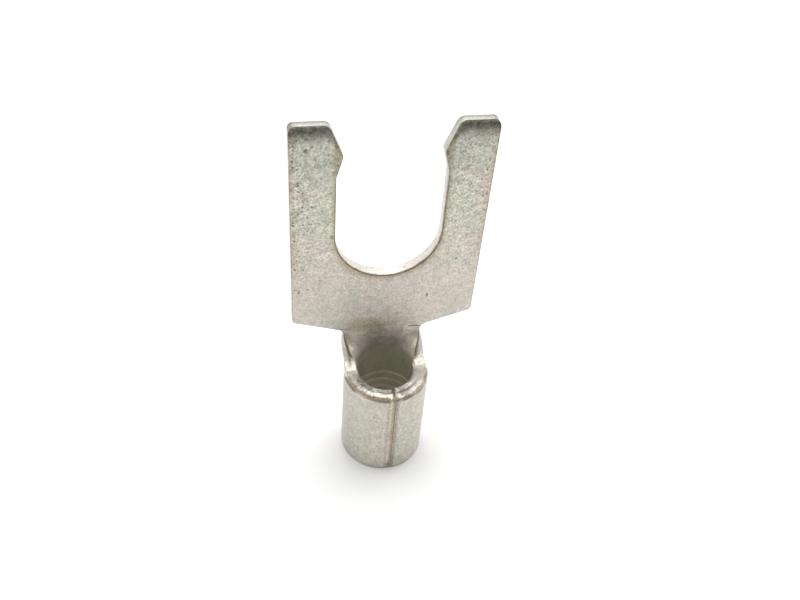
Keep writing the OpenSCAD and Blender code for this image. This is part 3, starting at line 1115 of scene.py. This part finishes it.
def shearedEdge():
    material, tree, shader = newFinish("sheared tin")
    place, along, through, height = blankPlace(tree)
    colour, relief = placeGrain(tree, place, shear["warmth"], 1.0)
    stretch = tree.nodes.new("ShaderNodeMapping")
    stretch.inputs["Scale"].default_value = shear["streakScale"]
    feed(tree, stretch.inputs["Vector"], place)
    streaks = clouds(tree, stretch.outputs[0], 1, 3, 0.6)
    colour = mixed(tree, ramped(tree, streaks, *shear["brightStreaks"]), colour, shear["bright"])
    share = calc(tree, "DIVIDE", calc(tree, "SUBTRACT", through, blank["frontY"]), blank["sheet"])
    fray = centred(tree, clouds(tree, place, shear["frayScale"], 3, 0.6), shear["fray"])
    frayed = calc(tree, "ADD", share, fray)
    colour = mixed(tree, bareCopper(tree, along, height, frayed), colour, shear["copper"])
    neck = allOf(tree, ramped(tree, height, *shear["neckFrom"]), faded(tree, height, *shear["neckTo"]))
    colour = tinted(tree, neck, colour, shear["neckShade"])
    colour = tinted(tree, ramped(tree, height, *shear["upperHeights"]), colour, shear["upperShade"])
    tip = allOf(tree, ramped(tree, share, *shear["tipShare"]), ramped(tree, height, *shear["tipHeights"]))
    colour = tinted(tree, tip, colour, shear["tipShade"])
    corner = ramped(tree, calc(tree, "ABSOLUTE", along), *shear["cornerFrom"])
    corner = allOf(tree, corner, ramped(tree, height, *shear["cornerHeights"]))
    colour = tinted(tree, corner, colour, shear["cornerShade"])
    colour = shearedRim(tree, colour, place, along, height, frayed)
    colour = tinted(tree, cornerStreak(tree, along, height, share), colour, shear["streak"])
    feed(tree, shader.inputs["Base Color"], colour)
    feed(tree, shader.inputs["Roughness"], ramped(tree, streaks, *shear["roughness"]))
    shader.inputs["Metallic"].default_value = shear["metallic"]
    bumped(tree, shader, calc(tree, "ADD", streaks, relief), shear["bump"])
    return material


terminal = makeTerminal()
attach(terminal, "root")
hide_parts("fork_terminal")


# Plain pale floor and soft light
studio = {
    "floorSize": 1.2,
    "floor": (0.9, 0.9, 0.89),
    "above": (1.0, 1.0, 1.0),
    "cameraSide": (0.16, 0.16, 0.16),
    "skyFade": (0.28, 0.6),
    "worldStrength": 1.25,
    "lampPlace": (0.05, 0.1, 0.5),
    "lampSize": 0.5,
    "lampPower": 2.0,
}


def makeFloor():
    emptyHands()
    bpy.ops.mesh.primitive_plane_add(size=studio["floorSize"], location=(0, 0, partLow.z))
    floor = bpy.context.object
    floor.name = "floor"
    material = bpy.data.materials.new("pale floor")
    material.use_nodes = True
    shader = material.node_tree.nodes["Principled BSDF"]
    shader.inputs["Base Color"].default_value = (*studio["floor"], 1)
    shader.inputs["Roughness"].default_value = 0.9
    shader.inputs["Specular IOR Level"].default_value = 0.1
    floor.data.materials.append(material)


makeFloor()


def makeSky():
    world = bpy.data.worlds.new("soft studio")
    world.use_nodes = True
    bpy.context.scene.world = world
    nodes, links = world.node_tree.nodes, world.node_tree.links
    place = nodes.new("ShaderNodeTexCoord")
    parts = nodes.new("ShaderNodeSeparateXYZ")
    ramp = nodes.new("ShaderNodeValToRGB")
    links.new(place.outputs["Generated"], parts.inputs[0])
    shift = nodes.new("ShaderNodeMath")
    shift.operation = "MULTIPLY_ADD"
    shift.inputs[1].default_value = 0.5
    shift.inputs[2].default_value = 0.5
    links.new(parts.outputs["Y"], shift.inputs[0])
    links.new(shift.outputs[0], ramp.inputs[0])
    sides = (studio["cameraSide"], studio["above"])
    for element, position, colour in zip(ramp.color_ramp.elements, studio["skyFade"], sides):
        element.position = position
        element.color = (*colour, 1)
    background = nodes["Background"]
    links.new(ramp.outputs[0], background.inputs["Color"])
    background.inputs["Strength"].default_value = studio["worldStrength"]


makeSky()


def makeSoftbox():
    emptyHands()
    place = Vector(studio["lampPlace"])
    bpy.ops.object.light_add(type="AREA", location=place)
    lamp = bpy.context.object
    lamp.name = "overhead softbox"
    lamp.data.shape = "SQUARE"
    lamp.data.size = studio["lampSize"]
    lamp.data.energy = studio["lampPower"]
    away = place - Vector((0, 0, partHigh.z / 2))
    lamp.rotation_euler = away.to_track_quat("Z", "Y").to_euler()


makeSoftbox()


# Camera at the photograph's viewing angle, fitted to the terminal's own edges
viewpoint = {
    "aim": (0.00093, 0.001577, 0.011829),
    "distance": 0.054572,
    "turn": 14.431,      # degrees to the left of the terminal's front
    "down": 42.023,
    "roll": 5.26,
    "lens": 38.0,
}


def makeCamera():
    camera = bpy.data.objects.new("photo camera", bpy.data.cameras.new("photo camera"))
    bpy.context.scene.collection.objects.link(camera)
    camera.data.sensor_width = 36
    camera.data.lens = viewpoint["lens"]
    camera.data.clip_start = 0.001
    turned = Matrix.Rotation(math.radians(-viewpoint["turn"]), 4, "Z")
    tilted = Matrix.Rotation(math.radians(90 - viewpoint["down"]), 4, "X")
    rolled = Matrix.Rotation(math.radians(viewpoint["roll"]), 4, "Z")
    back = Matrix.Translation((0, 0, viewpoint["distance"]))
    camera.matrix_world = Matrix.Translation(viewpoint["aim"]) @ turned @ tilted @ rolled @ back
    bpy.context.scene.camera = camera


makeCamera()
bpy.context.scene.view_settings.view_transform = "Standard"
print("camera and light set")
